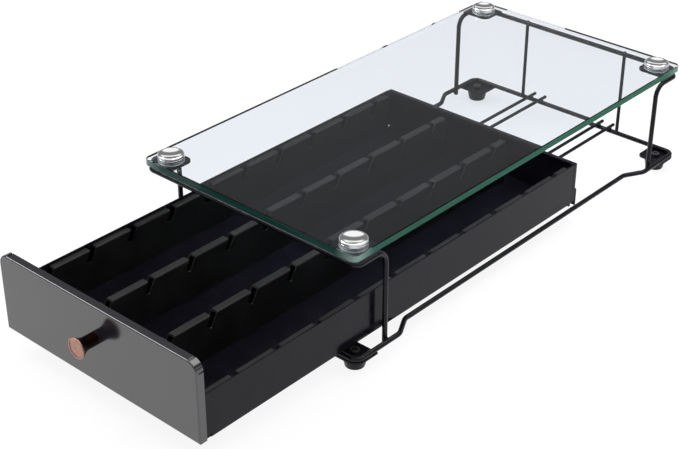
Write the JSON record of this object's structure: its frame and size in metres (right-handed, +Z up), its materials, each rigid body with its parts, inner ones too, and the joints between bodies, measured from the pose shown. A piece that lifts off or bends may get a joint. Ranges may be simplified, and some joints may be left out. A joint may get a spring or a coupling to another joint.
{
  "type": "coffee pod drawer",
  "caption": "Low sliding drawer with slotted lanes for coffee pods, on a black wire stand with a clear glass shelf, chrome caps and a small knob.",
  "frame": {"origin": "on the floor, in the middle of the four feet of the wire stand", "axes": "+X to the right seen from the front, +Y from the knob towards the back along the drawer's travel, +Z up"},
  "size_m": [0.2228, 0.5859, 0.1013],
  "materials": {
    "black_wire": "satin black powder coat",
    "black_sheet": "smooth satin black coat",
    "black_plastic": "matt black",
    "rubber": "plain black rubber",
    "screw_steel": "bright zinc plate",
    "shelf_glass": "clear toughened glass with polished edges",
    "chrome": "polished chrome",
    "copper": "dark copper plate",
    "screw_black": "black oxide"
  },
  "bodies": {
    "stand": {"base_ring": "black_wire", "front_arch": "black_wire", "rear_arch": "black_wire", "strut_left": "black_wire", "strut_right": "black_wire", "runner_left_inner": "black_wire", "runner_left_outer": "black_wire", "runner_right_inner": "black_wire", "runner_right_outer": "black_wire", "base_plate_front_left": "black_sheet", "base_plate_front_right": "black_sheet", "base_plate_rear_left": "black_sheet", "base_plate_rear_right": "black_sheet", "top_plate_front_left": "black_sheet", "top_plate_front_right": "black_sheet", "top_plate_rear_left": "black_sheet", "top_plate_rear_right": "black_sheet", "foot_front_left": "rubber", "foot_front_right": "rubber", "foot_rear_left": "rubber", "foot_rear_right": "rubber", "foot_screws": "screw_black", "cap_screws": "screw_steel", "glass_gaskets": "rubber", "glass_top": "shelf_glass", "cap_front_left": "chrome", "cap_front_right": "chrome", "cap_rear_left": "chrome", "cap_rear_right": "chrome"},
    "drawer": {"front_panel": "black_sheet", "knob": "copper", "knob_screw": "screw_steel", "panel_rivets": "black_sheet", "tray_shell": "black_sheet", "tray_back": "black_sheet", "stop_tab_left": "black_sheet", "stop_tab_right": "black_sheet", "tab_rivets": "black_sheet", "comb_left": "black_plastic", "comb_mid_left": "black_plastic", "comb_mid_right": "black_plastic", "comb_right": "black_plastic"}
  },
  "joints": [
    {"name": "drawer_slide", "type": "slide", "parent": "stand", "child": "drawer", "axis": [0, 1, 0], "range_m": [-0.2802, 0.1341]}
  ]
}
